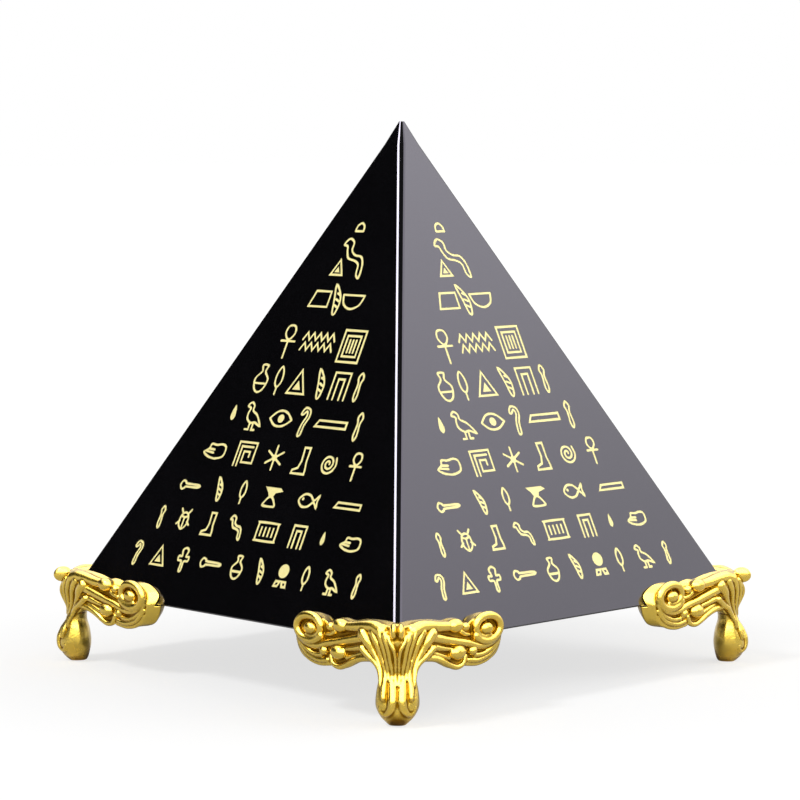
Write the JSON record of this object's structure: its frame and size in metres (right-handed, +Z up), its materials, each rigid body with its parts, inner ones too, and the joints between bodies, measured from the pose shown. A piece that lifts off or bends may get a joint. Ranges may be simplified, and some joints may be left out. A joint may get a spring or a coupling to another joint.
{
  "type": "obsidian pyramid ornament",
  "caption": "Polished black stone pyramid standing on scroll corner feet of gilt metal, with small gold signs engraved in rows on its faces.",
  "frame": {"origin": "on the floor under the pyramid's apex", "axes": "+Z up through the apex, X and Y along the sides of the stone's base, so that a foot stands on each diagonal"},
  "size_m": [0.1086, 0.1086, 0.1148],
  "materials": {
    "obsidian": "polished",
    "gilt_metal": "polished",
    "adhesive": "satin"
  },
  "bodies": {
    "root": {"pyramid_block": "obsidian", "foot_front": "gilt_metal", "glue_bed_front": "adhesive", "foot_right": "gilt_metal", "glue_bed_right": "adhesive", "foot_back": "gilt_metal", "glue_bed_back": "adhesive", "foot_left": "gilt_metal", "glue_bed_left": "adhesive"}
  },
  "joints": []
}
